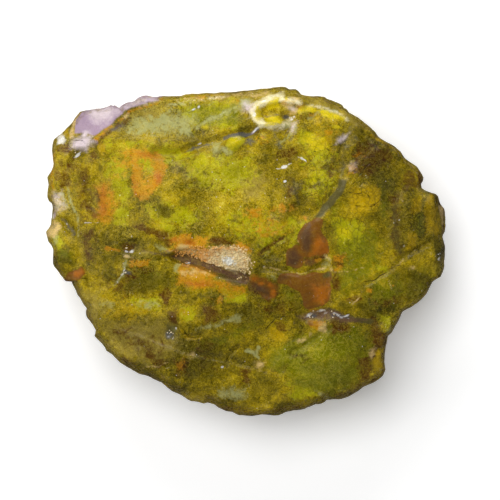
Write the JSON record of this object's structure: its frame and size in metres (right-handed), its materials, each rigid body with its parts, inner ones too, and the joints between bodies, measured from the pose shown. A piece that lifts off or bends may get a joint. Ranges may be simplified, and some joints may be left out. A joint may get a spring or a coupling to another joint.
{
  "type": "chloropal opal stone",
  "caption": "Broken lump of mottled green chloropal opal with an open face, a rough rind and a druse-lined slit, lying flat.",
  "frame": {"origin": "on the flat break that the lump rests on, under the middle of its outline seen from above", "axes": "+Z out of the mottled face, away from the resting break; +X along the face's long side, with the slit's wide end toward +X of its narrow end; +Y toward the rind with the white roll"},
  "size_m": [0.0806, 0.066, 0.0255],
  "materials": {
    "opal": "wet-looking broken face with a rough rind",
    "druse": "glassy points"
  },
  "bodies": {
    "root": {"opal_lump": "opal", "druse_crust": "druse"}
  },
  "joints": []
}
